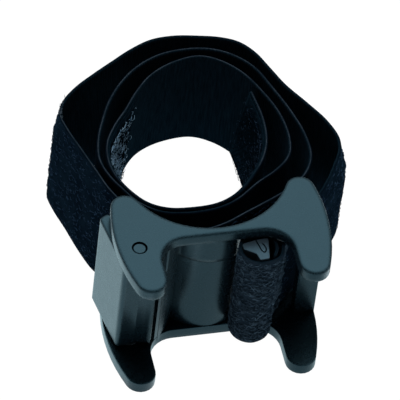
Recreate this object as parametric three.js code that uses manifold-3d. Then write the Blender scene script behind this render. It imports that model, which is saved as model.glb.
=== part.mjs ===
// A limb tourniquet: a two-plate buckle with a toothed cam lever, and a hook-and-loop strap that is
// fixed to an anchor pin in the buckle and stored as a loose coil behind it.
//
// Frame, in millimetres: X runs across the buckle, +Y runs from the buckle into the coil, +Z is up.
// Z = 0 is the underside of the buckle, and X = 0 is the buckle's own line of symmetry. The pieces are
// drawn with Y = 0 near the front of the plates' narrow bridge and are all moved at the end, so that
// the finished part's origin is in the middle of that bridge.

import * as THREE from 'three';
import { mergeVertices } from 'three/addons/utils/BufferGeometryUtils.js';
import Module from 'manifold-3d';

const wasm = await Module();
wasm.setup();

// ---------------------------------------------------------------- driving dimensions
const STRAP_WIDTH = 38;                      // 1.5 inch webbing
const STRAP_THICK = 0.9;
const BUCKLE_HEIGHT = 48;
const PLATE_THICK = 4;
const SEAM_FROM_TOP = 13.5;                  // the two housing halves meet this far below the top
const SEAM_GAP = 0.15;
const FIT_GAP = 0.12;                        // between pieces that are fitted against each other
const PRESS_GAP = 0.02;                      // radial, where a pin or screw is pressed in
const RUN_GAP = 0.08;                        // radial clearance of the lever on its pin

// Outline of the plates, drawn for the right half and mirrored.
const LIMB_ARC = { x: 0, y: 28.2, r: 26.1 };          // hollow side that lies against the limb
const SIDE_ARC = { x: -24.15, y: 2.4, r: 57 };        // slightly bulging outer side
const REAR_TIP_RADIUS = 4.47;
const FRONT_LOBE_RADIUS = 4.7;
const NOTCH_HALF_WIDTH = 20.4;
const NOTCH_TOP_Y = -0.45;
const NOTCH_CORNER_RADIUS = 8.4;
const PLATE_EDGE_ROUND = 0.3;
const BRIDGE_MIDDLE_Y = 0.8;

// Cam lever and its pin.
const PIVOT = { x: -26.1, y: -2.5 };
const PIN_RADIUS = 1.5;
const PIN_HEAD_RADIUS = 2.1;
const PIN_HEAD_HOLE_RADIUS = 2.4;
const LEVER_LOW_Z = 5.4;
const LEVER_HIGH_Z = 42.6;
const CAM_RADIUS = 6.5;

// Anchor pin that the fixed end of the strap is wound round.
const ROLL = { x: 11.3, y: -3.3, r: 6.05 };           // middle line of the strap round the pin
const PIN_SLOT_WIDTH = 0.4;

// Hook patch sewn to the inner face of the free end.
const PATCH_LENGTH = 127;
const PATCH_THICK = 0.5;
const PATCH_MARGIN = 1;
const LAYER_GAP = 0.04;

const PLATE_TOP = BUCKLE_HEIGHT - PLATE_THICK;
const STRAP_LOW_Z = (BUCKLE_HEIGHT - STRAP_WIDTH) / 2;
const STRAP_HIGH_Z = STRAP_LOW_Z + STRAP_WIDTH;
const SEAM_Z = BUCKLE_HEIGHT - SEAM_FROM_TOP;

// ---------------------------------------------------------------- outline helpers
const degrees = (angle) => angle * Math.PI / 180;

// Points along an arc from one angle to another, in degrees; the order follows the angles.
function arc(circle, from, to, steps) {
  const points = [];
  for (let i = 0; i <= steps; i += 1) {
    const angle = degrees(from + (to - from) * i / steps);
    points.push([circle.x + circle.r * Math.cos(angle), circle.y + circle.r * Math.sin(angle)]);
  }
  return points;
}

// Direction from one point to another, in degrees.
function heading(from, to) {
  return Math.atan2(to.y - from.y, to.x - from.x) * 180 / Math.PI;
}

// The right-hand one of the two points that lie ra from a and rb from b.
function meet(a, ra, b, rb) {
  const dx = b.x - a.x;
  const dy = b.y - a.y;
  const apart = Math.hypot(dx, dy);
  const along = (apart * apart + ra * ra - rb * rb) / (2 * apart);
  const across = Math.sqrt(ra * ra - along * along);
  const candidates = [1, -1].map((side) => ({
    x: a.x + (dx * along - side * dy * across) / apart,
    y: a.y + (dy * along + side * dx * across) / apart,
  }));
  return candidates[0].x > candidates[1].x ? candidates[0] : candidates[1];
}

// A closed outline whose corners [x, y, radius] are rounded.
function rounded(corners, steps = 5) {
  const points = [];
  corners.forEach((corner, i) => {
    const [x, y, radius] = corner;
    const before = corners[(i + corners.length - 1) % corners.length];
    const after = corners[(i + 1) % corners.length];
    const toBefore = new THREE.Vector2(before[0] - x, before[1] - y).normalize();
    const toAfter = new THREE.Vector2(after[0] - x, after[1] - y).normalize();
    const half = Math.acos(THREE.MathUtils.clamp(toBefore.dot(toAfter), -1, 1)) / 2;
    const back = radius / Math.tan(half);
    if (back < 0.01) {
      points.push([x, y]);
      return;
    }
    const start = new THREE.Vector2(x, y).addScaledVector(toBefore, back);
    const end = new THREE.Vector2(x, y).addScaledVector(toAfter, back);
    const bend = new THREE.QuadraticBezierCurve(start, new THREE.Vector2(x, y), end);
    bend.getPoints(steps).forEach((p) => points.push([p.x, p.y]));
  });
  return points;
}

// Points on a smooth curve through the given ones.
const POINTS_PER_SPAN = 3;
function smoothLine(points) {
  const curve = new THREE.CatmullRomCurve3(
    points.map(([x, y]) => new THREE.Vector3(x, y, 0)),
    false,
    'centripetal',
  );
  return curve.getPoints(POINTS_PER_SPAN * (points.length - 1));
}

// The outline of a ribbon between two lengths of a line. The two offsets are measured to the right-hand
// side of the line's direction of travel.
function ribbonOutline(line, offsetA, offsetB, fromLength = 0, toLength = Infinity) {
  const sideA = [];
  const sideB = [];
  let walked = 0;
  line.forEach((point, i) => {
    const before = line[Math.max(i - 1, 0)];
    const after = line[Math.min(i + 1, line.length - 1)];
    walked += point.distanceTo(before);
    if (walked < fromLength || walked > toLength) {
      return;
    }
    const along = after.clone().sub(before).normalize();
    sideA.push([point.x + along.y * offsetA, point.y - along.x * offsetA]);
    sideB.push([point.x + along.y * offsetB, point.y - along.x * offsetB]);
  });
  return [...sideA, ...sideB.reverse()];
}

const mirrored = (points) => points.map(([x, y]) => [-x, y]).reverse();

function shapeOf(points) {
  return new THREE.Shape(points.map(([x, y]) => new THREE.Vector2(x, y)));
}

// ---------------------------------------------------------------- solid helpers
// An upright prism between two heights; edge rounds its two rims.
function prism(points, low, high, edge = 0) {
  const geometry = new THREE.ExtrudeGeometry(shapeOf(points), {
    depth: high - low - 2 * edge,
    bevelEnabled: edge > 0,
    bevelThickness: edge,
    bevelSize: edge,
    bevelOffset: -edge,
    bevelSegments: 2,
    curveSegments: 1,
  });
  geometry.translate(0, 0, low + edge);
  return geometry;
}

// A solid of revolution about a vertical axis through a point; the profile is [radius, height] pairs.
function turned(profile, at, segments = 28) {
  const geometry = new THREE.LatheGeometry(profile.map(([r, z]) => new THREE.Vector2(r, z)), segments);
  geometry.rotateX(Math.PI / 2);
  geometry.translate(at.x, at.y, 0);
  return geometry;
}

const rod = (at, radius, low, high, segments) =>
  turned([[0, low], [radius, low], [radius, high], [0, high]], at, segments);

function toManifold(geometry) {
  const plain = geometry.clone();
  plain.deleteAttribute('normal');
  plain.deleteAttribute('uv');
  const welded = mergeVertices(plain, 1e-5);
  return new wasm.Manifold(new wasm.Mesh({
    numProp: 3,
    vertProperties: new Float32Array(welded.attributes.position.array),
    triVerts: new Uint32Array(welded.index.array),
  }));
}

function toGeometry(manifold) {
  const mesh = manifold.getMesh();
  const geometry = new THREE.BufferGeometry();
  geometry.setAttribute('position', new THREE.BufferAttribute(new Float32Array(mesh.vertProperties), 3));
  geometry.setIndex(new THREE.BufferAttribute(new Uint32Array(mesh.triVerts), 1));
  geometry.computeVertexNormals();
  return geometry;
}

// Adds solids together, then cuts others away.
function build(added, cut = []) {
  let body = toManifold(added[0]);
  added.slice(1).forEach((piece) => { body = body.add(toManifold(piece)); });
  cut.forEach((piece) => { body = body.subtract(toManifold(piece)); });
  return toGeometry(body);
}

// ---------------------------------------------------------------- materials
const paint = (color, roughness, metalness = 0) =>
  () => new THREE.MeshStandardMaterial({ color, roughness, metalness });
const HOUSING_PLASTIC = paint('#3f5763', 0.5);
const STEEL = paint('#8c9196', 0.35, 1);
const WEBBING = paint('#14212b', 0.95);
const HOOK_TAPE = paint('#2c3d49', 0.9);
const THREAD = paint('#232e36', 0.8);

const tourniquet = new THREE.Group();
tourniquet.name = 'tourniquet';

function place(parent, name, geometry, material) {
  const mesh = new THREE.Mesh(geometry, material());
  mesh.name = name;
  parent.add(mesh);
  return mesh;
}

// ---------------------------------------------------------------- buckle plates
function plateOutline() {
  const tip = meet(LIMB_ARC, LIMB_ARC.r + REAR_TIP_RADIUS, SIDE_ARC, SIDE_ARC.r - REAR_TIP_RADIUS);
  const lobeX = NOTCH_HALF_WIDTH + FRONT_LOBE_RADIUS;
  const lobeReach = SIDE_ARC.r - FRONT_LOBE_RADIUS;
  const lobeY = SIDE_ARC.y - Math.sqrt(lobeReach ** 2 - (lobeX - SIDE_ARC.x) ** 2);
  const rearTip = { ...tip, r: REAR_TIP_RADIUS };
  const frontLobe = { x: lobeX, y: lobeY, r: FRONT_LOBE_RADIUS };
  const notchCorner = {
    x: NOTCH_HALF_WIDTH - NOTCH_CORNER_RADIUS,
    y: NOTCH_TOP_Y - NOTCH_CORNER_RADIUS,
    r: NOTCH_CORNER_RADIUS,
  };
  const half = [
    ...arc(LIMB_ARC, -90, heading(LIMB_ARC, tip), 12),
    ...arc(rearTip, heading(LIMB_ARC, tip) + 180, heading(SIDE_ARC, tip), 9).slice(1),
    ...arc(SIDE_ARC, heading(SIDE_ARC, tip), heading(SIDE_ARC, frontLobe), 9).slice(1),
    ...arc(frontLobe, heading(SIDE_ARC, frontLobe), -180, 10).slice(1),
    ...arc(notchCorner, 0, 90, 8),
  ];
  return [...half, ...mirrored(half.slice(1))];
}

// The limb-side face of the walls, a little inside the hollow edge of the plates.
const limbWall = { ...LIMB_ARC, r: LIMB_ARC.r + 0.25 };
const limbWallAt = (x) => heading(limbWall, { x, y: limbWall.y - Math.sqrt(limbWall.r ** 2 - x * x) });

// Left wall: the fixed jaw the strap is clamped against, running on into the thin guard wall behind
// the bridge of the plates.
const JAW_FRONT = [-17.15, -2.35];
const JAW_STRIP_REAR_Y = 5;
const GUARD_ARC = { x: -1, y: 15.3, r: 15.5 };
const GUARD_RIGHT_X = 4.8;
const GUARD_TAIL_X = 6.7;

const guardAngle = (x) => heading(GUARD_ARC, {
  x,
  y: GUARD_ARC.y - Math.sqrt(GUARD_ARC.r ** 2 - (x - GUARD_ARC.x) ** 2),
});

function jawAndGuardOutline() {
  return [
    JAW_FRONT,
    [-15, NOTCH_TOP_Y - 0.05],
    ...arc(GUARD_ARC, guardAngle(-11.9), guardAngle(GUARD_RIGHT_X), 12),
    ...arc(limbWall, limbWallAt(GUARD_TAIL_X), limbWallAt(-20.6), 12),
    [-19.35, JAW_STRIP_REAR_Y + FIT_GAP],
    [-17.15, JAW_STRIP_REAR_Y + FIT_GAP],
  ];
}

// Right wall: a short pillar; the strap runs in between it and the guard wall.
function rightWallOutline() {
  return rounded([[32.9, 1, 0.3], [32.5, 7.4, 0.6], [29.2, 7.6, 1], [26.2, 4.6, 1], [26.3, 1.1, 0.5]]);
}

const SCREWS = { jaw: { x: -14.9, y: 3.2 }, wall: { x: 29, y: 4.4 } };
const SCREW_RADIUS = 1.1;
const SCREW_HEAD_RADIUS = 2.1;
const SCREW_HEAD_HEIGHT = 1.6;
const SCREW_SINK = 0.4;
const SCREW_TOP_Z = PLATE_TOP - 1;
const SCREW_TIP = 1.2;
const SCREW_CROSS = { width: 0.6, length: 2.6, depth: 1.2 };
const PIN_LOW_Z = 1.2;
const PIN_HEAD_LOW_Z = BUCKLE_HEIGHT - 2.4;
const PIN_HEAD_HIGH_Z = BUCKLE_HEIGHT - 0.3;
const SPRING_WIRE_RADIUS = 0.28;
const SPRING_LEG = {
  plate: { angle: 20, radius: 4.2, end: 2.6 },
  lever: { angle: 104, radius: 4.6, end: 7.6 },
};

const aroundPivot = ({ angle, radius }) => ({
  x: PIVOT.x + radius * Math.cos(degrees(angle)),
  y: PIVOT.y + radius * Math.sin(degrees(angle)),
});

function lowerHousing() {
  const wallTop = SEAM_Z - SEAM_GAP / 2;
  const sunk = SCREW_SINK + SCREW_HEAD_HEIGHT + FIT_GAP;
  const screwHoles = Object.values(SCREWS).flatMap((at) => [
    rod(at, SCREW_RADIUS + FIT_GAP, -1, BUCKLE_HEIGHT, 16),
    rod(at, SCREW_HEAD_RADIUS + FIT_GAP, -1, sunk, 20),
  ]);
  return build(
    [
      prism(plateOutline(), 0, PLATE_THICK, PLATE_EDGE_ROUND),
      prism(jawAndGuardOutline(), PLATE_THICK / 2, wallTop),
      prism(rightWallOutline(), PLATE_THICK / 2, wallTop),
    ],
    [
      ...screwHoles,
      rod(PIVOT, PIN_RADIUS + PRESS_GAP, PIN_LOW_Z, PLATE_THICK + 1, 28),
      rod(aroundPivot(SPRING_LEG.plate), SPRING_WIRE_RADIUS + FIT_GAP, 2.3, PLATE_THICK + 1, 12),
    ],
  );
}

function upperHousing() {
  const wallBottom = SEAM_Z + SEAM_GAP / 2;
  const screwHoles = Object.values(SCREWS).map((at) =>
    rod(at, SCREW_RADIUS + PRESS_GAP, wallBottom - 1, SCREW_TOP_Z + 0.5, 16));
  return build(
    [
      prism(plateOutline(), PLATE_TOP, BUCKLE_HEIGHT, PLATE_EDGE_ROUND),
      prism(jawAndGuardOutline(), wallBottom, PLATE_TOP + 1),
      prism(rightWallOutline(), wallBottom, PLATE_TOP + 1),
    ],
    [
      ...screwHoles,
      rod(PIVOT, PIN_RADIUS + PRESS_GAP, PLATE_TOP - 1, BUCKLE_HEIGHT, 28),
      rod(PIVOT, PIN_HEAD_HOLE_RADIUS, PIN_HEAD_LOW_Z, BUCKLE_HEIGHT + 1, 28),
    ],
  );
}

function housingScrew(at) {
  const headTop = SCREW_SINK + SCREW_HEAD_HEIGHT;
  const body = turned([
    [0, SCREW_SINK],
    [SCREW_HEAD_RADIUS, SCREW_SINK],
    [SCREW_HEAD_RADIUS, headTop],
    [SCREW_RADIUS, headTop],
    [SCREW_RADIUS, SCREW_TOP_Z - SCREW_TIP],
    [0, SCREW_TOP_Z],
  ], at, 16);
  const { width, length, depth } = SCREW_CROSS;
  const crossArm = (x, y) => {
    const box = new THREE.BoxGeometry(x, y, depth);
    box.translate(at.x, at.y, SCREW_SINK);
    return box;
  };
  return build([body], [crossArm(width, length), crossArm(length, width)]);
}

// A serrated strip let into the jaw, where the cam teeth press the strap.
function jawGripStrip() {
  const teeth = 7;
  const frontY = -3.4;
  const pitch = (JAW_STRIP_REAR_Y - frontY) / teeth;
  const toothed = [];
  for (let i = 0; i < teeth; i += 1) {
    const y = JAW_STRIP_REAR_Y - i * pitch;
    const lean = 0.035 * (y - frontY) ** 1.4;
    toothed.push([-18.45 - lean, y], [-18.2 - lean, y - pitch * 0.8]);
  }
  return prism([
    [JAW_FRONT[0] - FIT_GAP, JAW_STRIP_REAR_Y],
    ...toothed,
    [-18.5, frontY],
    [JAW_FRONT[0] - FIT_GAP, JAW_FRONT[1]],
  ], PLATE_THICK + FIT_GAP, PLATE_TOP - FIT_GAP);
}

// ---------------------------------------------------------------- cam lever
// Seen from above: a flat outer face runs from the thumb tail to the rounded front corner, a shallow
// scoop covers the pin, and the toothed nose of the cam faces the jaw.
function releaseLever() {
  const teeth = [];
  const pitch = 9;
  for (let angle = -26; angle < 36; angle += pitch) {
    const root = aroundPivot({ angle: angle + 1, radius: CAM_RADIUS - 0.5 });
    const crest = aroundPivot({ angle: angle + pitch - 1.5, radius: CAM_RADIUS });
    teeth.push([root.x, root.y, 0], [crest.x, crest.y, 0]);
  }
  const outline = rounded([
    [-29.9, 15.6, 0.8],
    [-32.2, 16.3, 0.9],
    [-34.5, 14.8, 1.2],
    [-30.95, -5.6, 1.5],
    [-25.2, -4.75, 0.6],
    [-22.6, -5.05, 0.2],
    [-20.4, -5.6, 0],
    ...teeth,
    [-22.6, 3.6, 0.4],
    [-26.4, 5.6, 1],
    [-28.4, 7.6, 1],
  ], 4);
  const groove = SPRING_LEG.lever;
  const grooveInner = { ...PIVOT, r: groove.radius - 0.6 };
  const grooveOuter = { ...PIVOT, r: groove.radius + 0.6 };
  const from = groove.angle - 11;
  const to = groove.angle + 22;
  return build(
    [prism(outline, LEVER_LOW_Z, LEVER_HIGH_Z, 0.3)],
    [
      rod(PIVOT, PIN_RADIUS + RUN_GAP, 0, BUCKLE_HEIGHT, 28),
      prism([...arc(grooveInner, from, to, 5), ...arc(grooveOuter, to, from, 5)], 4, groove.end + 0.8),
    ],
  );
}

const pivotPin = () => turned([
  [0, PIN_LOW_Z + 0.1],
  [PIN_RADIUS - 0.3, PIN_LOW_Z + 0.1],
  [PIN_RADIUS, PIN_LOW_Z + 0.5],
  [PIN_RADIUS, PIN_HEAD_LOW_Z + 0.05],
  [PIN_HEAD_RADIUS, PIN_HEAD_LOW_Z + 0.05],
  [PIN_HEAD_RADIUS, PIN_HEAD_HIGH_Z - 0.3],
  [PIN_HEAD_RADIUS - 0.3, PIN_HEAD_HIGH_Z],
  [0, PIN_HEAD_HIGH_Z],
], PIVOT);

// Keeps the lever off the upper plate.
const pivotWasher = () => build(
  [rod(PIVOT, 2.5, LEVER_HIGH_Z + FIT_GAP, PLATE_TOP - FIT_GAP, 28)],
  [rod(PIVOT, PIN_RADIUS + RUN_GAP, LEVER_HIGH_Z - 1, PLATE_TOP + 1, 28)],
);

// One flat turn of wire under the lever; its legs stand in the plate and in the lever's groove.
function leverSpring() {
  const { plate, lever } = SPRING_LEG;
  const coilRadius = 2.15;
  const low = PLATE_THICK + SPRING_WIRE_RADIUS + 0.1;
  const high = LEVER_LOW_Z - SPRING_WIRE_RADIUS - 0.1;
  const path = [];
  const legStart = aroundPivot(plate);
  path.push(new THREE.Vector3(legStart.x, legStart.y, plate.end));
  path.push(new THREE.Vector3(legStart.x, legStart.y, low - 0.2));
  const turn = 360 + lever.angle - plate.angle - 60;
  const steps = 14;
  for (let i = 0; i <= steps; i += 1) {
    const at = aroundPivot({ angle: plate.angle + 30 + turn * i / steps, radius: coilRadius });
    path.push(new THREE.Vector3(at.x, at.y, low + (high - low) * i / steps));
  }
  const legEnd = aroundPivot(lever);
  path.push(new THREE.Vector3(legEnd.x, legEnd.y, high + 0.25));
  path.push(new THREE.Vector3(legEnd.x, legEnd.y, lever.end));
  const wire = arc({ x: 0, y: 0, r: SPRING_WIRE_RADIUS }, 0, 315, 7);
  return new THREE.ExtrudeGeometry(shapeOf(wire), {
    steps: 76,
    extrudePath: new THREE.CatmullRomCurve3(path, false, 'centripetal'),
  });
}

// ---------------------------------------------------------------- anchor pin
// A wedge-sided pin. A narrow slot runs in from its rear face and round a springy tongue.
const PIN_SLOT = [
  [10.2, 0.8], [10.5, -1.2], [11, -3.6], [11.4, -5.1], [12, -5.7], [12.6, -5.2], [12.75, -4.3], [12.5, -3.1],
  [12.1, -2.2],
];

function anchorPin() {
  const body = prism(
    rounded([
      [6, -1.5, 0.5], [10.5, -0.5, 3], [14.4, -0.1, 0.5], [13.7, -5, 3], [13.1, -8.3, 0.7], [10.1, -8.5, 0.6],
      [9.5, -6, 1], [6, -3.6, 0.5],
    ]),
    PLATE_THICK + 0.3,
    PLATE_TOP - 0.6,
    0.3,
  );
  const slotLine = smoothLine(PIN_SLOT);
  const slot = prism(ribbonOutline(slotLine, -PIN_SLOT_WIDTH / 2, PIN_SLOT_WIDTH / 2), 0, BUCKLE_HEIGHT);
  return build([body], [slot]);
}

// ---------------------------------------------------------------- strap
// Middle line of the strap seen from above, from the free end in the heart of the coil outwards.
const INNER_WRAP = [
  [21.3, 63.5], [22.3, 56.5], [23.1, 50], [23.2, 44.4], [22.2, 37.4], [19.4, 30.9], [14.6, 24.2], [8.9, 18.6],
  [2, 15.5], [-6, 14.9], [-13, 15.7], [-18.7, 18.6], [-23, 23.8], [-26.1, 30], [-27.3, 36.8],
  [-26.3, 43.8], [-22.5, 50.8], [-18.2, 56.2], [-13.4, 63], [-7.4, 69.4], [0.6, 73.7], [9.2, 75.1],
  [15.6, 72.1], [21, 66.6], [25.2, 58.8], [28.7, 49], [29.7, 39.6],
];
const MIDDLE_WRAP = [
  [28.2, 31.8], [23, 25], [16.6, 20.3], [9.4, 16], [1, 13.6], [-8, 13.2], [-15.6, 14.8], [-21.6, 19.4],
  [-25.4, 25.4], [-28.4, 31.4], [-29.9, 38], [-28.8, 45.4], [-26, 53], [-22.4, 60.4], [-17.4, 67.4],
  [-11, 73.3], [-3.4, 77.2], [4.6, 78.5], [12.6, 77.7], [19.4, 74.4], [25.2, 68.2], [28.8, 59.6],
  [32.3, 49.6], [34.7, 39.4], [34.5, 29.8],
];
const OUTER_WRAP = [
  [30.6, 22.8], [24, 17.8], [16, 13.7], [9.6, 10.7], [3.7, 7.9], [-2.5, 6.2], [-9, 6.4], [-15.2, 9],
  [-21, 13.8], [-25.8, 19.2], [-29.3, 25.6], [-32, 34], [-34.9, 43.2], [-37.4, 51.4], [-38.3, 57.2],
  [-36.3, 62.2], [-31.6, 67.2], [-25.2, 71.8], [-18.2, 76.3], [-11.2, 80.6], [-4.2, 83.6], [3, 84.2],
  [10.4, 83.2], [17.4, 81.6], [22.6, 79], [26.6, 74.2], [29.6, 67.6], [33, 59.8], [38, 51.6], [42.4, 43.8],
  [44.6, 36.6],
];
const INTO_BUCKLE = [
  [44, 31.6], [41.2, 26], [37.9, 20.4], [33.8, 15], [29.8, 11.4], [26.4, 8.6], [23.4, 5.6], [20.9, 2.4],
  [19.3, -0.9], [18.3, -3.9], [17.5, -6.5], [15.6, -8.3],
];
const ROUND_PIN = arc(ROLL, 270, 80, 7);
const UNDER_ITSELF = [[14.9, 1.1], [16.3, -1.6], [16.2, -4.6], [14.9, -7.1]];

const strapLine = smoothLine([
  ...INNER_WRAP, ...MIDDLE_WRAP, ...OUTER_WRAP, ...INTO_BUCKLE, ...ROUND_PIN, ...UNDER_ITSELF,
]);

// An upright band along the strap between two lengths from its free end. Its faces lie at the two
// offsets from the middle line, positive towards the limb side of the innermost wrap.
const band = (fromLength, toLength, offsetA, offsetB, low, high) =>
  prism(ribbonOutline(strapLine, offsetA, offsetB, fromLength, toLength), low, high);

const patchLow = STRAP_THICK / 2 + LAYER_GAP;
const patchHigh = patchLow + PATCH_THICK;
const seamLow = patchHigh + LAYER_GAP;

const strap = () => band(0, Infinity, -STRAP_THICK / 2, STRAP_THICK / 2, STRAP_LOW_Z, STRAP_HIGH_Z);
const hookPatch = () =>
  band(1, PATCH_LENGTH, patchLow, patchHigh, STRAP_LOW_Z + PATCH_MARGIN, STRAP_HIGH_Z - PATCH_MARGIN);
const patchSeam = (z) => band(2, PATCH_LENGTH - 1, seamLow, seamLow + 0.3, z - 0.25, z + 0.25);

// ---------------------------------------------------------------- assembly
const buckle = new THREE.Group();
buckle.name = 'buckle';
const lever = new THREE.Group();
lever.name = 'lever_group';
const webbing = new THREE.Group();
webbing.name = 'strap_group';
tourniquet.add(buckle, lever, webbing);
tourniquet.children.forEach((group) => { group.position.y = -BRIDGE_MIDDLE_Y; });

place(buckle, 'lower_housing', lowerHousing(), HOUSING_PLASTIC);
place(buckle, 'upper_housing', upperHousing(), HOUSING_PLASTIC);
place(buckle, 'jaw_grip_strip', jawGripStrip(), HOUSING_PLASTIC);
place(buckle, 'pivot_pin', pivotPin(), HOUSING_PLASTIC);
place(buckle, 'pivot_washer', pivotWasher(), STEEL);
place(buckle, 'lever_spring', leverSpring(), STEEL);
place(buckle, 'anchor_pin', anchorPin(), HOUSING_PLASTIC);
place(buckle, 'housing_screw_jaw', housingScrew(SCREWS.jaw), STEEL);
place(buckle, 'housing_screw_wall', housingScrew(SCREWS.wall), STEEL);
place(lever, 'release_lever', releaseLever(), HOUSING_PLASTIC);
place(webbing, 'strap', strap(), WEBBING);
place(webbing, 'hook_patch', hookPatch(), HOOK_TAPE);
place(webbing, 'patch_seam_upper', patchSeam(STRAP_HIGH_Z - PATCH_MARGIN - 2), THREAD);
place(webbing, 'patch_seam_lower', patchSeam(STRAP_LOW_Z + PATCH_MARGIN + 2), THREAD);

export default tourniquet;
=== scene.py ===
import math

import bpy
import numpy as np
from mathutils import Matrix, Vector


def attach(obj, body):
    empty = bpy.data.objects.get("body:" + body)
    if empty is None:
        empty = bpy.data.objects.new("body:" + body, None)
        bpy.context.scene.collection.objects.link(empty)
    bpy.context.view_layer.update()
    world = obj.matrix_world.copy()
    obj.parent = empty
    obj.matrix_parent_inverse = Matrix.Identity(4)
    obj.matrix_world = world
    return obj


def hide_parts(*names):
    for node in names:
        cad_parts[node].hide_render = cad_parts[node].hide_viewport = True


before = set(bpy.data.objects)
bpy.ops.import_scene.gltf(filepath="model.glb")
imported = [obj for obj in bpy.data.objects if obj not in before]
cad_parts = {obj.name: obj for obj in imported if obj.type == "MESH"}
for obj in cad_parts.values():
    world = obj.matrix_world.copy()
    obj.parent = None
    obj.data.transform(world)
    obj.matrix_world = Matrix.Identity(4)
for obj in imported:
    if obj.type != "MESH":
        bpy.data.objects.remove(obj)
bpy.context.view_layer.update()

MM = 0.001
SEED = 7
random = np.random.default_rng(SEED)

# ------------------------------------------------------------------ strap dimensions, in millimetres
STRAP_LOW_Z = 5.0
STRAP_HIGH_Z = 43.0
MIDDLE_Z = (STRAP_LOW_Z + STRAP_HIGH_Z) / 2
STRAP_HALF = 0.42            # half the thickness of the woven body
SELVEDGE_HALF = 0.47         # half the thickness of the beaded edge
RIM_HALF = 0.14              # half the width of the bare, paler yarn along the very edge
RIM_SHAPE = [                # offset from the middle line, and depth under the very edge
    (SELVEDGE_HALF, 1.0), (SELVEDGE_HALF, 0.4), (0.36, 0.12), (RIM_HALF, 0),
]
BODY_MARGIN = 1.6            # the flat body starts this far from either edge
BODY_ROWS = 9
BRIDGE_MIDDLE_Y = 0.8        # the path below is drawn before the part's origin is moved here
SAMPLE_STEP = 0.8            # between cross-sections along the strap
SPAN_SAMPLES = 24            # finer samples between two points of the path
WOUND_LENGTH = 50            # of the strap's last part, which is wound round the anchor pin

# Middle line of the strap seen from above, from the free end in the heart of the coil outwards.
BEFORE_THE_END = [(20.9, 69.5)]
INNER_WRAP = [
    (21.3, 63.5), (22.3, 56.5), (23.1, 50), (23.2, 44.4), (22.2, 37.4), (19.4, 30.9), (14.6, 24.2),
    (8.9, 18.6), (2, 15.5), (-6, 14.9), (-13, 15.7), (-18.7, 18.6), (-23, 23.8), (-26.1, 30), (-27.3, 36.8),
    (-26.3, 43.8), (-22.5, 50.8), (-18.2, 56.2), (-13.4, 63), (-7.4, 69.4), (0.6, 73.7), (9.2, 75.1),
    (15.6, 72.1), (21, 66.6), (25.2, 58.8), (28.7, 49), (29.7, 39.6),
]
MIDDLE_WRAP = [
    (28.2, 31.8), (23, 25), (16.6, 20.3), (9.4, 16), (1, 13.6), (-8, 13.2), (-15.6, 14.8), (-21.6, 19.4),
    (-25.4, 25.4), (-28.4, 31.4), (-29.9, 38), (-28.8, 45.4), (-26, 53), (-22.4, 60.4), (-17.4, 67.4),
    (-11, 73.3), (-3.4, 77.2), (4.6, 78.5), (12.6, 77.7), (19.4, 74.4), (25.2, 68.2), (28.8, 59.6),
    (32.3, 49.6), (34.7, 39.4), (34.5, 29.8),
]
OUTER_WRAP = [
    (30.6, 22.8), (24, 17.8), (16, 13.7), (9.6, 10.7), (3.7, 7.9), (-2.5, 6.2), (-9, 6.4), (-15.2, 9),
    (-21, 13.8), (-25.8, 19.2), (-29.3, 25.6), (-32, 34), (-34.9, 43.2), (-37.4, 51.4), (-38.3, 57.2),
    (-36.3, 62.2), (-31.6, 67.2), (-25.2, 71.8), (-18.2, 76.3), (-11.2, 80.6), (-4.2, 83.6), (3, 84.2),
    (10.4, 83.2), (17.4, 81.6), (22.6, 79), (26.6, 74.2), (29.6, 67.6), (33, 59.8), (38, 51.6), (42.4, 43.8),
    (44.6, 36.6),
]
INTO_BUCKLE = [
    (44, 31.6), (41.2, 26), (37.9, 20.4), (33.8, 15), (29.8, 11.4), (26.4, 8.6), (23.4, 5.6), (20.9, 2.4),
    (19.3, -0.9), (18.3, -3.9), (17.5, -6.5), (15.6, -8.3),
]
ROLL_CENTRE = (11.3, -3.3)
ROLL_RADIUS = 6.05
ROLL_ANGLES = np.linspace(270, 80, 8)     # clockwise round the anchor pin, in degrees
ROUND_PIN = [
    (ROLL_CENTRE[0] + ROLL_RADIUS * math.cos(math.radians(angle)),
     ROLL_CENTRE[1] + ROLL_RADIUS * math.sin(math.radians(angle)))
    for angle in ROLL_ANGLES
]
UNDER_ITSELF = [(14.9, 1.1), (16.3, -1.6), (16.2, -4.6), (14.9, -7.1)]
ROLL_TURN = INTO_BUCKLE[-4:] + ROUND_PIN[:2]
STRAP_PATH = BEFORE_THE_END + INNER_WRAP + MIDDLE_WRAP + OUTER_WRAP + INTO_BUCKLE + ROUND_PIN + UNDER_ITSELF

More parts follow.
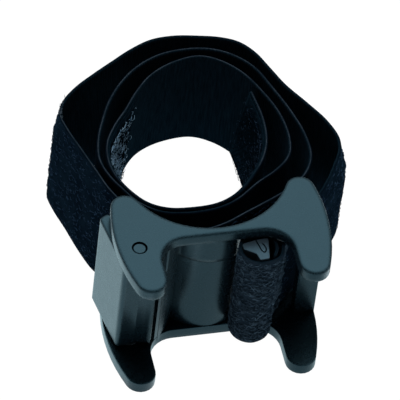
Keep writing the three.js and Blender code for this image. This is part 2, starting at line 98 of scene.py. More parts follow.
# Places where the webbing leans. "at" is a point on a turn of the strap. The strap's lower edge moves
# "out" of the coil there, and less and less up to "reach" on either side. The lean starts at the upper
# edge and is full at "depth" below it; without a depth the whole height of the strap moves.
LEANS = [
    {"at": (-10, 66.5), "turn": INNER_WRAP, "reach": 24, "out": 2.0, "depth": 36},
    {"at": (23.2, 50), "turn": INNER_WRAP, "reach": 14, "out": -1.0, "depth": 36},
    {"at": (45, 35), "turn": OUTER_WRAP, "reach": 26, "out": 2.7, "depth": 12},
    {"at": (-38, 58), "turn": OUTER_WRAP, "reach": 18, "out": 1.1, "depth": 10},
    {"at": (-31.5, 33), "turn": OUTER_WRAP, "reach": 34, "out": 2.4, "depth": 36},
    {"at": (-24.5, 17.5), "turn": OUTER_WRAP, "reach": 12, "out": -1.0, "depth": 36},
    {"at": (-21, 74.5), "turn": OUTER_WRAP, "reach": 20, "out": -5.9, "depth": 36},
    {"at": (-19.5, 64.5), "turn": MIDDLE_WRAP, "reach": 20, "out": 1.0, "depth": 36},
    {"at": (17.5, 21), "turn": MIDDLE_WRAP, "reach": 18, "out": -1.7, "depth": None},
    {"at": (7, 9.2), "turn": OUTER_WRAP, "reach": 11, "out": 3.2, "depth": 36},
    {"at": (18.8, -2.4), "turn": ROLL_TURN, "reach": 9, "out": -0.8, "depth": 26},
    {"at": (17.2, -6.5), "turn": ROLL_TURN, "reach": 9, "out": -0.8, "depth": 30},
]
END_SLANT = 9.5              # the free end is cut askew: its lower corner reaches further by this much
SLANT_REACH = 30             # length of strap over which the slant fades

PATCH_START = 1              # length along the strap where the hook patch begins
PATCH_LENGTH = 127
PATCH_LOW_Z = 6.0
PATCH_HIGH_Z = 42.0
PATCH_NEAR = 0.5             # offsets of its two faces from the strap's middle line, towards the inner face
PATCH_FAR = 0.95
PATCH_BORDER = 12            # the patch's face has one more row of points this far from either edge

PIVOT = (-26.1, -3.3)        # the lever's pivot, in the middle of the ring in the top plate
RING_REACH = 4.5             # no softened edges inside this distance from it


# ------------------------------------------------------------------ the strap as a curve
def through(points, step):
    """Even samples of a smooth curve through the points (centripetal Catmull-Rom)."""
    p = np.array(points, float)
    p = np.vstack([2 * p[0] - p[1], p, 2 * p[-1] - p[-2]])
    t = np.linspace(0, 1, SPAN_SAMPLES, endpoint=False)[:, None]
    spans = []
    for a, b, c, d in zip(p[:-3], p[1:-2], p[2:-1], p[3:]):
        before, here, after = [math.sqrt(np.linalg.norm(q)) for q in (b - a, c - b, d - c)]
        out_of = ((b - a) / before - (c - a) / (before + here) + (c - b) / here) * here
        into = ((c - b) / here - (d - b) / (here + after) + (d - c) / after) * here
        spans.append(b + out_of * t + (3 * (c - b) - 2 * out_of - into) * t**2
                     + (2 * (b - c) + out_of + into) * t**3)
    line = np.vstack(spans + [p[-2:-1]])
    walked = np.concatenate([[0], np.cumsum(np.linalg.norm(np.diff(line, axis=0), axis=1))])
    even = np.linspace(0, walked[-1], int(walked[-1] / step) + 1)
    return even, np.column_stack([np.interp(even, walked, line[:, i]) for i in (0, 1)])


LENGTHS, LINE = through(STRAP_PATH, SAMPLE_STEP)


def length_at(point, turn=STRAP_PATH):
    """Length along the strap where it passes closest to a point, within one of its turns."""
    ends = [LENGTHS[np.argmin(np.linalg.norm(LINE - np.array(end), axis=1))] for end in (turn[0], turn[-1])]
    away = np.linalg.norm(LINE - np.array(point), axis=1)
    in_turn = (LENGTHS >= ends[0]) & (LENGTHS <= ends[1])
    return LENGTHS[np.argmin(np.where(in_turn, away, np.inf))]


LENGTHS = LENGTHS - length_at(INNER_WRAP[0])
ALONG = np.gradient(LINE, axis=0)
ALONG /= np.linalg.norm(ALONG, axis=1)[:, None]
INWARD = np.column_stack([ALONG[:, 1], -ALONG[:, 0]])

STRAP_LENGTH = LENGTHS[-1]
WOUND_FROM = STRAP_LENGTH - WOUND_LENGTH
START_OF_OUTER = length_at(OUTER_WRAP[0])
FAR_SIDE_FROM = length_at((-38.3, 57.2), OUTER_WRAP)     # at the coil's leftmost point
DARK_RIMS = [                # at the front of the coil the rim is dark between these lengths
    (length_at((16, 26.3), INNER_WRAP), length_at((-18.7, 18.6), INNER_WRAP)),
    (length_at((6, 14.9), MIDDLE_WRAP), length_at((-15.6, 14.8), MIDDLE_WRAP)),
]


def smooth(x):
    x = np.clip(x, 0, 1)
    return x * x * (3 - 2 * x)


for lean in LEANS:
    lean["length"] = length_at(lean["at"], lean["turn"])


def lean_out(lengths, z):
    """How far the webbing stands out from its middle line at a length and a height."""
    total = np.zeros(np.broadcast(lengths, z).shape)
    for lean in LEANS:
        window = smooth(1 - np.abs(lengths - lean["length"]) / lean["reach"])
        share = smooth((STRAP_HIGH_Z - z) / lean["depth"]) if lean["depth"] else 1.0
        total = total + window * lean["out"] * share
    return total


def slanted(lengths, z):
    """Lengths near the free end, drawn out towards the lower corner of its slanting cut."""
    near_end = np.clip(1 - lengths / SLANT_REACH, 0, 1)
    return lengths + END_SLANT * (z - MIDDLE_Z) / (STRAP_HIGH_Z - STRAP_LOW_Z) * near_end


def on_strap(lengths, offset, z):
    """Points of the part, in millimetres. offset is from the strap's middle line towards its inner face."""
    lengths, offset, z = np.broadcast_arrays(lengths, offset, z)
    lengths = slanted(lengths, z)
    offset = offset - lean_out(lengths, z)
    x = np.interp(lengths, LENGTHS, LINE[:, 0]) + offset * np.interp(lengths, LENGTHS, INWARD[:, 0])
    y = np.interp(lengths, LENGTHS, LINE[:, 1]) + offset * np.interp(lengths, LENGTHS, INWARD[:, 1])
    return np.stack([x, y - BRIDGE_MIDDLE_Y, z], axis=-1)


# ------------------------------------------------------------------ meshes
def make_mesh(name, points, faces, materials, indices=None, uvs=None):
    """A smooth mesh from points in millimetres. uvs holds one (length, height) for each point."""
    mesh = bpy.data.meshes.new(name)
    mesh.from_pydata((points * MM).tolist(), [], faces)
    for material in materials:
        mesh.materials.append(material)
    if indices is not None:
        mesh.polygons.foreach_set("material_index", indices)
    if uvs is not None:
        layer = mesh.uv_layers.new(name="Strap")
        corners = np.empty(len(mesh.loops), np.int32)
        mesh.loops.foreach_get("vertex_index", corners)
        layer.data.foreach_set("uv", uvs[corners].ravel().astype(np.float32))
    mesh.polygons.foreach_set("use_smooth", [True] * len(mesh.polygons))
    mesh.update()
    made = bpy.data.objects.new(name, mesh)
    bpy.context.scene.collection.objects.link(made)
    return made


def ribbon(name, start, end, section, materials, face_material):
    """A closed band along the strap. section is a loop of (offset, z); face_material picks the slot."""
    lengths = np.linspace(start, end, max(int((end - start) / SAMPLE_STEP), 2))
    section = np.array(section)
    ring = len(section)
    points = on_strap(lengths[:, None], section[None, :, 0], section[None, :, 1]).reshape(-1, 3)
    uvs = np.stack(np.broadcast_arrays(lengths[:, None], section[None, :, 1]), -1).reshape(-1, 2)
    faces = []
    indices = []
    for i in range(len(lengths) - 1):
        for j in range(ring):
            k = (j + 1) % ring
            faces.append((i * ring + j, (i + 1) * ring + j, (i + 1) * ring + k, i * ring + k))
            indices.append(face_material(j))
    last = (len(lengths) - 1) * ring
    faces.append(tuple(range(ring)))
    faces.append(tuple(last + j for j in reversed(range(ring))))
    indices += [len(materials) - 1] * 2
    return make_mesh(name, points, faces, materials, indices, uvs)


def unit(vectors):
    """The vectors with a length of one. The small number keeps a zero vector from dividing by zero."""
    return vectors / (np.linalg.norm(vectors, axis=-1)[..., None] + 1e-9)


def tubes(name, lines, radius, sides, material):
    """Many short round threads as one mesh. lines has the shape (threads, points, 3)."""
    count, length, _ = lines.shape
    tangent = unit(np.gradient(lines, axis=1))
    across = unit(np.cross(lines[:, -1] - lines[:, 0], lines[:, length // 2] - lines[:, 0]))
    first = np.broadcast_to(across[:, None, :], tangent.shape)
    second = np.cross(tangent, first)
    turn = 2 * math.pi * np.arange(sides) / sides
    rings = (lines[:, :, None, :]
             + radius * np.cos(turn)[None, None, :, None] * first[:, :, None, :]
             + radius * np.sin(turn)[None, None, :, None] * second[:, :, None, :])
    faces = []
    for thread in range(count):
        base = thread * length * sides
        for i in range(length - 1):
            for j in range(sides):
                k = (j + 1) % sides
                a = base + i * sides
                b = a + sides
                faces.append((a + j, a + k, b + k, b + j))
        faces.append(tuple(base + j for j in reversed(range(sides))))
        faces.append(tuple(base + (length - 1) * sides + j for j in range(sides)))
    return make_mesh(name, rings.reshape(-1, 3), faces, [material])


# ------------------------------------------------------------------ materials
SHEEN = (0.3, 0.6, 0.9, 1)
PLASTIC_TINT = (0.42, 0.82, 1.0, 1)
BEVEL_SAMPLES = 6
MIX_INPUTS = (0, 6, 7)       # factor, first and second colour of a Mix node that mixes colours
MIX_RESULT = 2


class Nodes:
    """A material's node tree with short calls for the nodes used here."""

    def __init__(self, name):
        self.material = bpy.data.materials.new(name)
        self.material.use_nodes = True
        self.tree = self.material.node_tree
        self.shader = self.tree.nodes["Principled BSDF"]

    def add(self, kind, **inputs):
        node = self.tree.nodes.new("ShaderNode" + kind)
        for key, value in inputs.items():
            self.feed(node.inputs[key.replace("_", " ")], value)
        return node

    def feed(self, socket, value):
        """Gives an input a plain value or a link from another node."""
        if isinstance(value, bpy.types.NodeSocket):
            self.tree.links.new(value, socket)
        else:
            socket.default_value = value

    def coordinates(self, kind="Object", scale=(1, 1, 1)):
        if kind == "Strap":
            source = self.add("UVMap")
            source.uv_map = "Strap"
            vector = source.outputs[0]
        else:
            vector = self.add("TexCoord").outputs[kind]
        return self.add("Mapping", Vector=vector, Scale=scale).outputs[0]

    def noise(self, vector, scale, detail=3, roughness=0.6):
        return self.add("TexNoise", Vector=vector, Scale=scale, Detail=detail,
                        Roughness=roughness).outputs["Fac"]

    def waves(self, vector, scale, distortion):
        """Bands across the length of the strap."""
        node = self.add("TexWave", Vector=vector, Scale=scale, Distortion=distortion, Detail=2.0)
        node.bands_direction = "X"
        return node.outputs["Fac"]

    def ramp(self, factor, first, second):
        """A colour between two stops, each of them a factor and a colour."""
        node = self.add("ValToRGB", Fac=factor)
        for element, (position, colour) in zip(node.color_ramp.elements, (first, second)):
            element.position = position
            element.color = (*colour, 1)
        return node.outputs["Color"]

    def remap(self, value, low, high):
        """A value from 0 to 1 stretched between low and high."""
        return self.add("MapRange", Value=value, To_Min=low, To_Max=high).outputs["Result"]

    def rise(self, value, low, high):
        """0 up to the low value, rising to 1 at the high one."""
        return self.add("MapRange", Value=value, From_Min=float(low), From_Max=float(high)).outputs["Result"]

    def maths(self, operation, first, second):
        node = self.add("Math")
        node.operation = operation
        for socket, value in zip(node.inputs, (first, second)):
            self.feed(socket, value)
        return node.outputs[0]

    def mix(self, factor, first, second):
        node = self.add("Mix")
        node.data_type = "RGBA"
        for index, value in zip(MIX_INPUTS, (factor, first, second)):
            self.feed(node.inputs[index], value)
        return node.outputs[MIX_RESULT]

    def strap_place(self, axis):
        """Length along the strap (X) or height on it (Y), in millimetres."""
        return self.add("SeparateXYZ", Vector=self.coordinates("Strap")).outputs[axis]

    def after(self, length, fade):
        """0 before a length along the strap and 1 after it, changing over the fade."""
        return self.rise(self.strap_place("X"), length, length + fade)

    def between(self, start, end, fade):
        """1 between two lengths along the strap and 0 outside them."""
        return self.maths("SUBTRACT", self.after(start - fade, fade), self.after(end, fade))

    def up_the_strap(self):
        """0 at the strap's lower edge rising to 1 at its upper one."""
        return self.rise(self.strap_place("Y"), STRAP_LOW_Z, STRAP_HIGH_Z)

    def rounded(self, radius):
        """The surface's direction as if its edges, but not the ring round the pin, were this round."""
        away = self.add("VectorMath", Vector=self.coordinates(scale=(1, 1, 0)))
        away.operation = "DISTANCE"
        away.inputs[1].default_value = (PIVOT[0] * MM, PIVOT[1] * MM, 0)
        outside = self.maths("GREATER_THAN", away.outputs["Value"], RING_REACH * MM)
        node = self.add("Bevel", Radius=self.maths("MULTIPLY", outside, radius * MM))
        node.samples = BEVEL_SAMPLES
        return node.outputs["Normal"]

    def bump(self, height, distance, strength, over=None):
        """Fine relief, distance metres deep, on the surface or over an already rounded one."""
        node = self.add("Bump", Height=height, Distance=distance, Strength=strength)
        if over is not None:
            self.feed(node.inputs["Normal"], over)
        self.feed(self.shader.inputs["Normal"], node.outputs["Normal"])

    def look(self, **inputs):
        for key, value in inputs.items():
            self.feed(self.shader.inputs[key.replace("_", " ")], value)
        return self.material

    def cloth(self, colour, roughness):
        """Dull cloth with a trace of sheen and no gloss."""
        return self.look(Base_Color=colour, Roughness=roughness, Sheen_Weight=0.02, Sheen_Roughness=0.5,
                         Sheen_Tint=SHEEN, Specular_IOR_Level=0.0)


def moulded_plastic(name, dark, light, roughness, rounding=0.0):
    """Slightly pebbled plastic; rounding is how far its edges catch the light as if they were round."""
    n = Nodes(name)
    where = n.coordinates()
    blotches = n.noise(where, scale=60, detail=4)
    grain = n.noise(where, scale=5200, detail=2)
    wear = n.noise(where, scale=240)
    n.bump(grain, distance=0.00002, strength=0.5, over=n.rounded(rounding) if rounding else None)
    return n.look(
        Base_Color=n.ramp(blotches, (0.3, dark), (0.7, light)),
        Roughness=n.remap(wear, roughness - 0.05, roughness + 0.06),
        Specular_IOR_Level=0.36,
        Specular_Tint=PLASTIC_TINT,
    )


def turned_steel():
    n = Nodes("steel")
    lines = n.noise(n.coordinates(scale=(1, 1, 12)), scale=900, detail=2)
    n.bump(lines, distance=0.00001, strength=0.4)
    return n.look(Base_Color=(0.05, 0.055, 0.06, 1), Metallic=1.0, Roughness=n.remap(lines, 0.25, 0.45))


def loop_pile():
    """Napped loops: dark navy with paler patches. Where the strap is wound on the pin a paler copy is
    painted light, fading in as painted shade over the roll's right side.
    """
    n = Nodes("loop_pile")
    where = n.coordinates("Strap")
    nap = n.noise(where, scale=1.6, detail=5, roughness=0.75)
    blotches = n.noise(where, scale=0.12)
    flat = n.ramp(blotches, (0.38, (0.0008, 0.0024, 0.0052)), (0.66, (0.0032, 0.0074, 0.0130)))
    # painted light: a paler copy of the cloth for the roll round the pin; its fade after WOUND_FROM is
    # painted shade on the roll's right side
    wound = n.ramp(blotches, (0.3, (0.0080, 0.0130, 0.0195)), (0.7, (0.0135, 0.0205, 0.0295)))
    n.bump(nap, distance=0.0002, strength=0.8)
    return n.cloth(n.mix(n.after(WOUND_FROM, fade=16), flat, wound), roughness=0.95)


def ribbed_weave():
    """Ribs across the strap, with painted shade that makes them darker towards its lower edge."""
    n = Nodes("ribbed_weave")
    ribs = n.waves(n.coordinates("Strap"), scale=0.32, distortion=1.2)
    picks = n.noise(n.coordinates("Strap", (1.3, 0.16, 1)), scale=1.0, detail=4)
    n.bump(n.maths("ADD", ribs, n.maths("MULTIPLY", picks, 1.4)), distance=0.00016, strength=0.7)
    # painted shade: the darker low colour is mixed in towards the strap's lower edge
    low = n.ramp(picks, (0.35, (0.0008, 0.0034, 0.0062)), (0.65, (0.0024, 0.0078, 0.0128)))
    high = n.ramp(picks, (0.35, (0.0030, 0.0082, 0.0130)), (0.65, (0.0076, 0.0172, 0.0255)))
    return n.cloth(n.mix(n.up_the_strap(), low, high), roughness=0.95)


def selvedge_weave():
    """Bare yarn along the rim, broken up by fluff, and dark from the coil's far side on and along two
    stretches at the coil's front.
    """
    n = Nodes("selvedge")
    where = n.coordinates("Strap")
    turns = n.waves(where, scale=0.9, distortion=2.0)
    fluff = n.noise(where, scale=0.55)
    wear = n.remap(n.noise(where, scale=0.05, detail=2), -0.6, 2.2)
    bare = n.maths("MULTIPLY", turns, n.maths("MULTIPLY", fluff, wear))
    yarn = n.ramp(bare, (0.06, (0.006, 0.010, 0.015)), (0.5, (0.066, 0.073, 0.088)))
    # a darker rim colour, used from the coil's far side on and between the lengths in DARK_RIMS
    dimmed_rim = n.ramp(fluff, (0.3, (0.0020, 0.0050, 0.0080)), (0.8, (0.0070, 0.0140, 0.0210)))
    n.bump(turns, distance=0.0001, strength=0.6)
    dark = n.after(FAR_SIDE_FROM, fade=6)
    for start, end in DARK_RIMS:
        dark = n.maths("ADD", dark, n.between(start, end, fade=4))
    return n.cloth(n.mix(dark, yarn, dimmed_rim), roughness=0.9)


def fibre(name, dark, light, roughness=0.8):
    """Matt yarn or small mouldings, mottled between two colours."""
    n = Nodes(name)
    where = n.coordinates()
    n.bump(n.noise(where, scale=3000), distance=0.00005, strength=0.6)
    mottling = n.noise(where, scale=700)
    return n.look(Base_Color=n.ramp(mottling, (0.35, dark), (0.65, light)),
                  Roughness=roughness, Specular_IOR_Level=0.0)


def housing_plastic(name, rounding=0.0):
    """Near-black plastic of the housings and the lever."""
    return moulded_plastic(name, (0.0022, 0.0055, 0.0080), (0.0032, 0.0070, 0.0100), 0.27, rounding)


HOUSING = housing_plastic("housing_plastic")
COVER = housing_plastic("cover_plastic", rounding=1.8)
LEVER = housing_plastic("lever_plastic", rounding=1.5)
PIN_PLASTIC = moulded_plastic("pin_plastic", (0.030, 0.040, 0.052), (0.045, 0.058, 0.072), roughness=0.42)
STEEL = turned_steel()
PILE = loop_pile()
RIBS = ribbed_weave()
SELVEDGE = selvedge_weave()
PATCH_BASE = fibre("hook_tape", (0.0018, 0.0056, 0.0095), (0.0044, 0.0108, 0.0165))
HOOKS = fibre("hooks", (0.0015, 0.0045, 0.0080), (0.0050, 0.0125, 0.0200), roughness=0.6)
# partly real lint and partly painted highlight: this pale colour stands in for glints on the hooks at the
# bend
LINT_AND_GLINTS = fibre("lint", (0.140, 0.240, 0.360), (0.480, 0.620, 0.760))
DULL_LINT = fibre("dull_lint", (0.006, 0.014, 0.030), (0.060, 0.085, 0.130))
THREAD = fibre("thread", (0.003, 0.006, 0.010), (0.008, 0.014, 0.021))
WOUND_FIBRE = fibre("wound_fibre", (0.012, 0.020, 0.030), (0.070, 0.100, 0.135))
FRAYED = fibre("frayed_yarn", (0.030, 0.040, 0.055), (0.160, 0.175, 0.200))
PILE_FIBRE = fibre("fibre", (0.004, 0.011, 0.024), (0.036, 0.062, 0.105))


# ------------------------------------------------------------------ buckle
WELD_DISTANCE = 0.002        # millimetres
FLAT_WITHIN = 1              # faces within this angle, in degrees, are one flat face
EDGE_FROM = 35               # edges sharper than this angle, in degrees, are rounded
PLASTIC_EDGE = 0.15          # roundings, in millimetres
PIN_EDGE = 0.12
STEEL_EDGE = 0.05


def dress(node, material, edge):
    """Gives a CAD piece its material and a small rounding on its sharp edges."""
    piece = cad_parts[node]
    piece.data.materials.clear()
    piece.data.materials.append(material)
    piece.data.polygons.foreach_set("use_smooth", [True] * len(piece.data.polygons))
    weld = piece.modifiers.new("weld", "WELD")
    weld.merge_threshold = WELD_DISTANCE * MM
    flat = piece.modifiers.new("flat_faces", "DECIMATE")
    flat.decimate_type = "DISSOLVE"
    flat.angle_limit = math.radians(FLAT_WITHIN)
    bevel = piece.modifiers.new("edge", "BEVEL")
    bevel.width = edge * MM
    bevel.segments = 2
    bevel.limit_method = "ANGLE"
    bevel.angle_limit = math.radians(EDGE_FROM)
    bevel.use_clamp_overlap = True
    normals = piece.modifiers.new("normals", "WEIGHTED_NORMAL")
    normals.weight = 80


for node in ("lower_housing", "jaw_grip_strip", "pivot_pin"):
    dress(node, HOUSING, PLASTIC_EDGE)
dress("upper_housing", COVER, PLASTIC_EDGE)
dress("release_lever", LEVER, PLASTIC_EDGE)
dress("anchor_pin", PIN_PLASTIC, PIN_EDGE)
for node in ("pivot_washer", "lever_spring", "housing_screw_jaw", "housing_screw_wall"):
    dress(node, STEEL, STEEL_EDGE)


# ------------------------------------------------------------------ strap
def belongs_to_strap(made, replaced=None):
    """The piece moves with the buckle's body. It can stand in for one of the CAD pieces."""
    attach(made, "buckle_and_strap")
    if replaced:
        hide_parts(replaced)


def strap_section():
    """Loop of (offset, z) round the webbing: inner face up, rim, outer face down, rim."""
    heights = np.linspace(STRAP_LOW_Z + BODY_MARGIN, STRAP_HIGH_Z - BODY_MARGIN, BODY_ROWS)
    middle = [(STRAP_HALF, z) for z in heights]
    top = [(offset, STRAP_HIGH_Z - depth) for offset, depth in RIM_SHAPE]
    inner = [(offset, STRAP_LOW_Z + STRAP_HIGH_Z - z) for offset, z in reversed(top)] + middle + top
    outer = [(-offset, z) for offset, z in reversed(inner)]
    return inner + outer


SECTION = strap_section()
STRAP_MATERIALS = [PILE, RIBS, SELVEDGE]


def strap_face(j):
    """Place in STRAP_MATERIALS of each face round the section: ribs inside, pile outside and two rims."""
    side = len(SECTION) // 2
    if j % side == side - 1:
        return STRAP_MATERIALS.index(SELVEDGE)
    return STRAP_MATERIALS.index(RIBS if j < side else PILE)


belongs_to_strap(ribbon("webbing", 0, STRAP_LENGTH, SECTION, STRAP_MATERIALS, strap_face),
                 "strap")

PATCH_SECTION = [
    (PATCH_NEAR, PATCH_LOW_Z), (PATCH_FAR, PATCH_LOW_Z), (PATCH_FAR, PATCH_LOW_Z + PATCH_BORDER),
    (PATCH_FAR, PATCH_HIGH_Z - PATCH_BORDER), (PATCH_FAR, PATCH_HIGH_Z), (PATCH_NEAR, PATCH_HIGH_Z),
]
belongs_to_strap(ribbon("hook_tape", PATCH_START, PATCH_LENGTH, PATCH_SECTION, [PATCH_BASE], lambda j: 0),
                 "hook_patch")

# One hook and one stitch from the side: points of (length along the strap, height over the patch).
HOOK_SHAPE = np.array([(0, -0.1), (0, 0.45), (0.08, 0.72), (0.3, 0.86), (0.5, 0.74), (0.54, 0.52)])
STITCH_SHAPE = np.array([(-1.25, -0.2), (-1.0, 0.08), (-0.4, 0.16), (0.4, 0.16), (1.0, 0.08), (1.25, -0.2)])
HOOK_ROW_STEP = 1.45
HOOK_ROWS = np.arange(PATCH_LOW_Z + 2.6, PATCH_HIGH_Z - 2.4, HOOK_ROW_STEP)
HOOK_STEP = 1.3
HOOKS_FROM = 3
HOOK_UNEVEN = 0.06           # how much place and height differ from hook to hook
HOOK_LEAN = 0.12             # how much they lean up or down
ROW_SHIFT = 0.6              # every other row of hooks starts this much later
LINT_LIFT = 0.85             # of the middle of a curl of lint over the patch, about level with the hooks
LINT_DROOP = 0.3             # its ends lie this much lower
STITCH_STEP = 3.1
STITCHES_FROM = 4
STITCH_SLOPE = 0.05
STITCH_INSET = 1.5           # of either row of stitches from the patch's edge
END_MARGIN = 2               # hooks and stitches stop this far from the end of the patch
PILE_MARGIN = 1              # the loops of the pile stay this far from the strap's edges
ROOT_DEPTH = 0.05            # their ends are this deep in the strap
FRAY_DEPTH = 0.15            # and those of frayed threads this deep in its rim
SWING = np.linspace(-1, 1, 6)                # from one end of a curl of fibre to the other


def hooks():
    """Rows of small moulded hooks standing on the patch, each row curling the other way."""
    lines = []
    for row, z in enumerate(HOOK_ROWS):
        way = 1 if row % 2 else -1
        for length in np.arange(HOOKS_FROM + ROW_SHIFT * (row % 2), PATCH_LENGTH - END_MARGIN, HOOK_STEP):
            shift, growth, rise = random.normal(0, HOOK_UNEVEN, 3)
            lean = random.normal(0, HOOK_LEAN)
            steps = length + shift + way * HOOK_SHAPE[:, 0]
            lines.append(on_strap(steps, PATCH_FAR + HOOK_SHAPE[:, 1] * (1 + growth),
                                  z + rise + lean * HOOK_SHAPE[:, 1]))
    return np.array(lines)


def curls(length, z, turn, size, bends, sideways):
    """Lengths and heights of wavy curls, turned away from the strap's length; size is half their own."""
    reach = SWING[None, :] * size[:, None]
    sway = np.sin(SWING[None, :] * bends[:, None]) * sideways[:, None]
    steps = length[:, None] + np.cos(turn)[:, None] * reach - np.sin(turn)[:, None] * sway
    heights = z[:, None] + np.sin(turn)[:, None] * reach + np.cos(turn)[:, None] * sway
    return steps, heights


def lint(count, middle, spread, low_z, high_z):
    """Pale curls of lint caught on the hooks round one length of the patch, more of them lower down. Where
    they are very pale they are partly painted glints, and the extra curls low down partly paint that part
    lighter.
    """
    length = middle + random.normal(0, spread, count)
    z = low_z + (high_z - low_z) * random.uniform(0, 1, count) ** 1.5
    turn = random.normal(0, 0.5, count)
    size = random.uniform(0.4, 1.3, count)
    bends = random.uniform(1.5, 4, count)
    sideways = random.normal(0, 0.3, count)
    steps, heights = curls(length, z, turn, size, bends, sideways)
    return on_strap(np.clip(steps, PATCH_START, PATCH_LENGTH),
                    PATCH_FAR + LINT_LIFT - LINT_DROOP * SWING[None, :] ** 2,
                    np.clip(heights, PATCH_LOW_Z, PATCH_HIGH_Z))


def stitches(z):
    """Short slightly arched stitches in a row along the patch."""
    lines = []
    for length in np.arange(STITCHES_FROM, PATCH_LENGTH - END_MARGIN, STITCH_STEP):
        lines.append(on_strap(length + STITCH_SHAPE[:, 0], PATCH_FAR + STITCH_SHAPE[:, 1],
                              z + STITCH_SLOPE * STITCH_SHAPE[:, 0]))
    return np.array(lines)


def pile(count, start, end, size, lift):
    """Wavy loops of fibre lying on the strap's outer face, mostly along it."""
    length = random.uniform(start, end, count)
    z = random.uniform(STRAP_LOW_Z + PILE_MARGIN, STRAP_HIGH_Z - PILE_MARGIN, count)
    turn = random.normal(0, 0.45, count)
    size = random.uniform(0.5, 1.2, count) * size
    height = random.uniform(0.6, 1.2, count) * lift
    bends = random.uniform(2, 5, count)
    sideways = random.normal(0, 0.22, count)
    steps, heights = curls(length, z, turn, size, bends, sideways)
    arch = (1 - SWING**2)[None, :] * height[:, None]
    return on_strap(steps, -(STRAP_HALF - ROOT_DEPTH + arch), heights)


def fray(count, middle, spread, reach):
    """Loose thread ends standing on the strap's upper rim round one length of it."""
    length = middle + random.normal(0, spread, count)
    lean = random.normal(0, 0.7, count)
    outwards = random.uniform(-0.5, 0.8, count)
    height = random.uniform(0.3, 1.0, count) * reach
    rise = np.linspace(0, 1, 5)
    steps = length[:, None] + lean[:, None] * rise[None, :] ** 2
    heights = STRAP_HIGH_Z - FRAY_DEPTH + height[:, None] * rise[None, :]
    return on_strap(steps, -outwards[:, None] * rise[None, :], heights)


def threads(name, lines, material, radius, sides=4, replaced=None):
    """Fine threads as one piece of the strap."""
    belongs_to_strap(tubes(name, lines, radius, sides, material), replaced)


# The order of these calls matters, because each one draws from the same random numbers.
threads("hook_rows", hooks(), HOOKS, radius=0.09)
threads("lint_at_the_end", lint(count=330, middle=22, spread=10, low_z=7, high_z=42),
        DULL_LINT, radius=0.05)
# at the bend: part real lint, part painted glints, thicker lower down
threads("lint_and_glints_at_the_bend", lint(count=800, middle=112, spread=5.5, low_z=7, high_z=40),
        LINT_AND_GLINTS, radius=0.08)
threads("upper_stitches", stitches(PATCH_HIGH_Z - STITCH_INSET),
        THREAD, radius=0.17, sides=6, replaced="patch_seam_upper")
threads("lower_stitches", stitches(PATCH_LOW_Z + STITCH_INSET),
        THREAD, radius=0.17, sides=6, replaced="patch_seam_lower")
threads("pile_loops", pile(count=3600, start=START_OF_OUTER, end=WOUND_FROM, size=0.7, lift=0.25),
        PILE_FIBRE, radius=0.09)
threads("wound_pile", pile(count=1300, start=WOUND_FROM, end=STRAP_LENGTH - 20, size=1.0, lift=0.35),
        WOUND_FIBRE, radius=0.14)
threads("frayed_threads", fray(count=34, middle=FAR_SIDE_FROM + 0.8, spread=2.2, reach=1.0),
        FRAYED, radius=0.06)


# ------------------------------------------------------------------ studio
DAYLIGHT = (0.77, 0.94, 1.0)
CARD_BLUE = (0.66, 0.92, 1.0)
WHITE = (1.0, 1.0, 1.0)
LIT_PAPER = (0.86, 0.86, 0.86)               # the paper's own colour for light that bounces off it
SEEN_PAPER = (0.05, 0.05, 0.05)              # and where the camera sees it, under its glow
PAPER_GLOW = 0.98
PAPER_HALF = 2500                            # half the width of the sheet, in millimetres
CARD_Z = 0.3                                 # height of the lying cards over the floor, in millimetres

CAMERA_PLACE = Vector((-0.3235, -0.9920, 1.2677))
CAMERA_RIGHT = Vector((0.97450, -0.20828, 0.08354))
CAMERA_UP = Vector((0.10552, 0.75385, 0.64852))
CAMERA_BACK = Vector((-0.19804, -0.62316, 0.75660))
CAMERA_LENS = 481.4
CAMERA_SENSOR = 36
CAMERA_SEES_TO = 10

SKY_TOWARDS = Vector((0.10, 0.63, 0.77)).normalized()
SKY_EDGE = 0.76                              # cosines of the angles from its middle where the bright
SKY_CORE = 0.97                              # patch ends and where it is full


def camera():
    """A long lens from the front left, 49 degrees up."""
    data = bpy.data.cameras.new("camera")
    data.sensor_width = CAMERA_SENSOR
    data.lens = CAMERA_LENS
    data.clip_end = CAMERA_SEES_TO
    made = bpy.data.objects.new("camera", data)
    turned = Matrix((CAMERA_RIGHT, CAMERA_UP, CAMERA_BACK)).transposed().to_quaternion()
    made.matrix_world = Matrix.LocRotScale(CAMERA_PLACE, turned, None)
    bpy.context.scene.collection.objects.link(made)
    bpy.context.scene.camera = made


def softbox(name, place, towards, size, radiance):
    """A square soft light that glossy reflections don't show; radiance is the brightness of its face."""
    data = bpy.data.lights.new(name, "AREA")
    data.shape = "RECTANGLE"
    data.size = size
    data.size_y = size
    data.energy = radiance * math.pi * size * size
    data.color = DAYLIGHT
    made = bpy.data.objects.new(name, data)
    made.location = place
    aim = Vector(towards) - Vector(place)
    made.rotation_euler = aim.to_track_quat("-Z", "Y").to_euler()
    made.visible_glossy = False
    bpy.context.scene.collection.objects.link(made)


def floor():
    """White paper that glows, plain white to the camera and daylight-coloured to the object."""
    n = Nodes("paper")
    n.bump(n.noise(n.coordinates(), scale=900), distance=0.00002, strength=0.3)
    seen = n.add("LightPath").outputs["Is Camera Ray"]
    material = n.look(
        Base_Color=n.ramp(seen, (0, LIT_PAPER), (1, SEEN_PAPER)),
        Roughness=0.9,
        Specular_IOR_Level=0.0,
        Emission_Color=n.ramp(seen, (0, DAYLIGHT), (1, WHITE)),
        Emission_Strength=n.remap(seen, PAPER_GLOW, 1.0),
    )
    corners = [(-PAPER_HALF, -PAPER_HALF, 0), (PAPER_HALF, -PAPER_HALF, 0),
               (PAPER_HALF, PAPER_HALF, 0), (-PAPER_HALF, PAPER_HALF, 0)]
    make_mesh("paper_sheet", np.array(corners, float), [(0, 1, 2, 3)], [material])


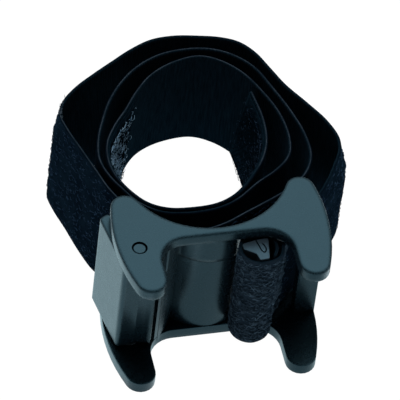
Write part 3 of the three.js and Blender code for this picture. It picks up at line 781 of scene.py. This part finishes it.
def lying(low, high):
    """Corners of a card lying just over the floor, from its lowest x and y to its highest."""
    return [(low[0], low[1], CARD_Z), (high[0], low[1], CARD_Z), (high[0], high[1], CARD_Z),
            (low[0], high[1], CARD_Z)]


def standing(y, low, high):
    """Corners of an upright card across y, from its lowest x and z to its highest."""
    return [(low[0], y, low[1]), (high[0], y, low[1]), (high[0], y, high[1]), (low[0], y, high[1])]


def card(name, corners, brightness):
    """A flat card that only shows in glossy reflections, to shade or to lighten them."""
    n = Nodes(name)
    material = n.look(Base_Color=(0, 0, 0, 1), Roughness=1.0, Specular_IOR_Level=0.0,
                      Emission_Color=(*CARD_BLUE, 1), Emission_Strength=brightness)
    made = make_mesh(name, np.array(corners, float), [(0, 1, 2, 3)], [material])
    made.visible_camera = False
    made.visible_diffuse = False
    made.visible_shadow = False
    made.visible_transmission = False


def tent(bright, dark):
    """A dim surround with one large, soft-edged bright patch above and behind the object."""
    world = bpy.data.worlds.new("tent")
    world.use_nodes = True
    tree = world.node_tree
    where = tree.nodes.new("ShaderNodeTexCoord")
    towards = tree.nodes.new("ShaderNodeVectorMath")
    towards.operation = "DOT_PRODUCT"
    towards.inputs[1].default_value = SKY_TOWARDS
    fade = tree.nodes.new("ShaderNodeMapRange")
    fade.interpolation_type = "SMOOTHSTEP"
    fade.inputs["From Min"].default_value = SKY_EDGE
    fade.inputs["From Max"].default_value = SKY_CORE
    fade.inputs["To Min"].default_value = dark
    fade.inputs["To Max"].default_value = bright
    background = tree.nodes["Background"]
    background.inputs["Color"].default_value = (*DAYLIGHT, 1)
    tree.links.new(where.outputs["Generated"], towards.inputs[0])
    tree.links.new(towards.outputs["Value"], fade.inputs["Value"])
    tree.links.new(fade.outputs[0], background.inputs["Strength"])
    bpy.context.scene.world = world


camera()
floor()
softbox("overhead", place=(0.0, 0.02, 1.20), towards=(0, 0.02, 0), size=0.16, radiance=50.0)
card("right_flag", standing(y=6, low=(34, 0.5), high=(75, 43.5)), brightness=0.0)
card("foreground", lying(low=(-19, -90), high=(60, -2)), brightness=0.95)
card("left_side", lying(low=(-80, -50), high=(-31, 50)), brightness=1.4)
tent(bright=3.3, dark=0.08)
bpy.context.scene.view_settings.view_transform = "Standard"
